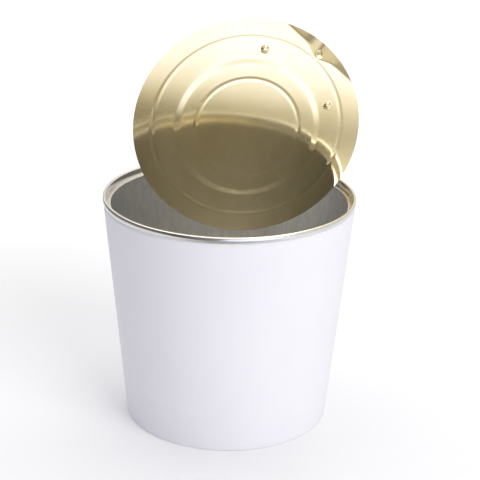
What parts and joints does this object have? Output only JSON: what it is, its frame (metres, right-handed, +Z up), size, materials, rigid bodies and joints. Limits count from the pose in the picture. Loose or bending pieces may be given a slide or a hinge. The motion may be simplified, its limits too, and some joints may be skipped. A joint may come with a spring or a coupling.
{
  "type": "tapered paperboard tub with seamed metal rim and torn-off easy-open lid",
  "caption": "Tapered white paperboard tub with a thin double-seamed metal rim; its gold-lacquered easy-open lid, torn out, stands upright in the mouth with its pull tab behind.",
  "frame": {"origin": "on the tub's axis, at the surface that its foot ring stands on", "axes": "+Z up along the tub's axis, -Y to the front that the lid's gold face looks at, +X to the right"},
  "size_m": [0.1336, 0.13, 0.209],
  "materials": {
    "white_board": "matte coated white outside, foil lined inside",
    "base_board": "matte",
    "rim_metal": "bright tinplate",
    "sealant": "matte lining compound",
    "gold_lacquer": "clear gold lacquer on tinplate, glossy",
    "tab_metal": "bright tinplate"
  },
  "bodies": {
    "tub": {"side_wall": "white_board", "bottom_disc": "base_board", "rim_ring": "rim_metal", "seam_sealant": "sealant", "lid_panel": "gold_lacquer", "tab_tongue": "tab_metal"},
    "tab": {"pull_tab": "tab_metal"}
  },
  "joints": [
    {"name": "tab_lift", "type": "hinge", "parent": "tub", "child": "tab", "pos_m": [0.04773, 0.01577, 0.19184], "axis": [0.7342, 0.093, -0.6725], "range_deg": [0, 120]}
  ]
}
